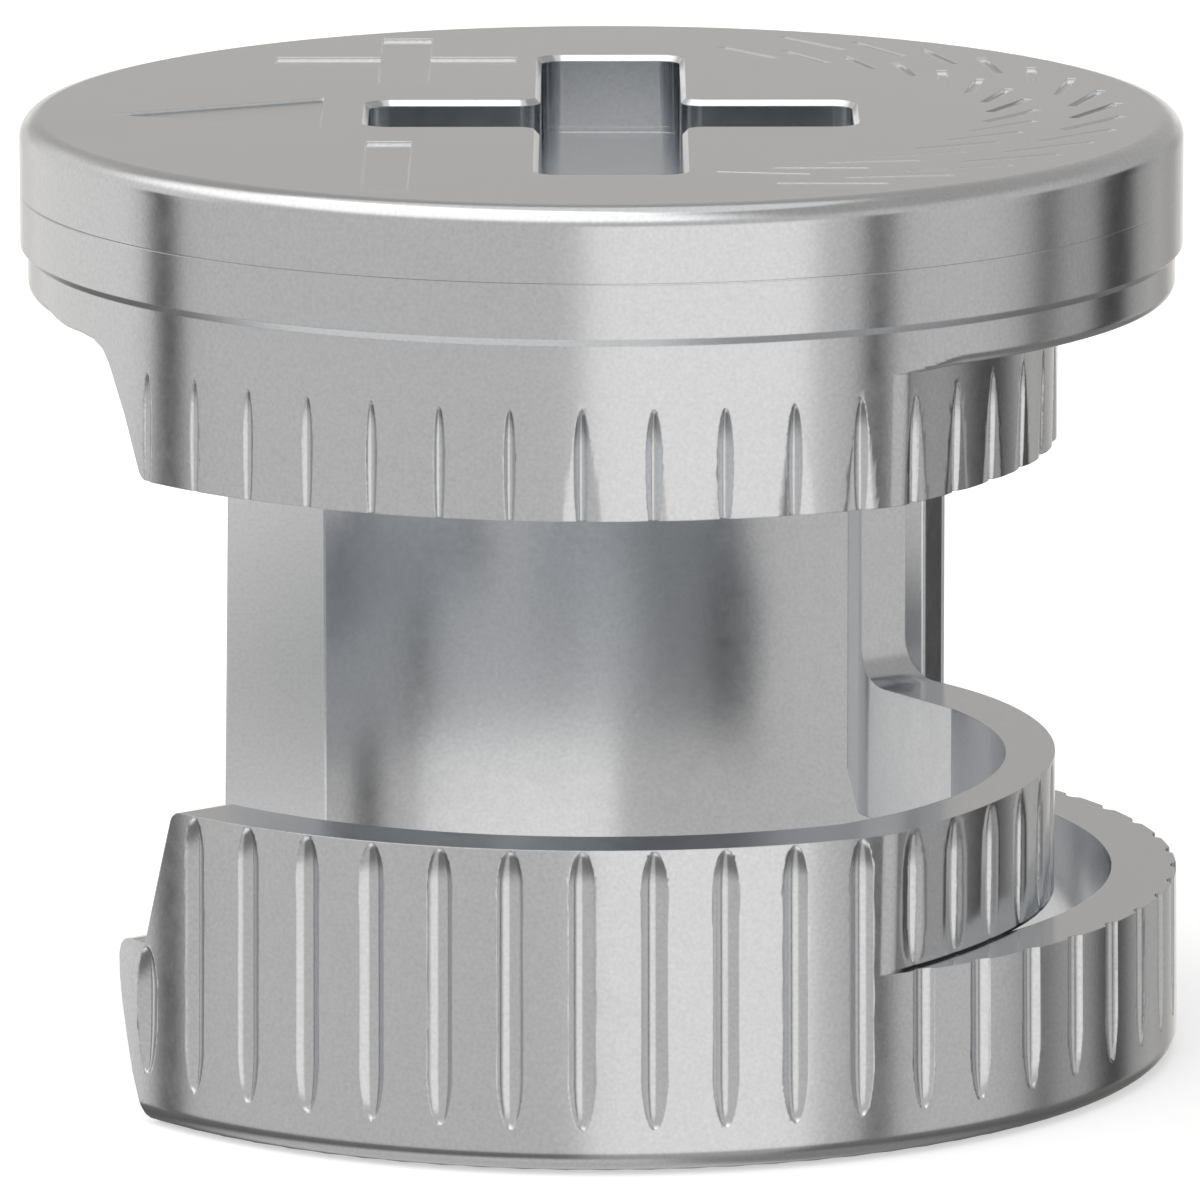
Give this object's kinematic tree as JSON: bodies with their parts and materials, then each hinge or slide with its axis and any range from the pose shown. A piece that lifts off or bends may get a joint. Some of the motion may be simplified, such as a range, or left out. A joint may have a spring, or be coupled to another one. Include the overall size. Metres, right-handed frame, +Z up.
{
  "type": "furniture cam lock housing",
  "caption": "Round cast cam housing of a furniture connector: cross-recessed head, open slotted drum with a spiral cam wall, side entry for the bolt head and a grooved outside.",
  "frame": {"origin": "centre of the bottom face, on the axis of the round head", "axes": "+Z up along the turning axis to the head, -Y to the open front of the neck slot, -X to the entry window for the bolt head"},
  "size_m": [0.015, 0.015, 0.0122],
  "materials": {
    "housing": "satin"
  },
  "bodies": {
    "root": {"cam_housing": "housing"}
  },
  "joints": []
}
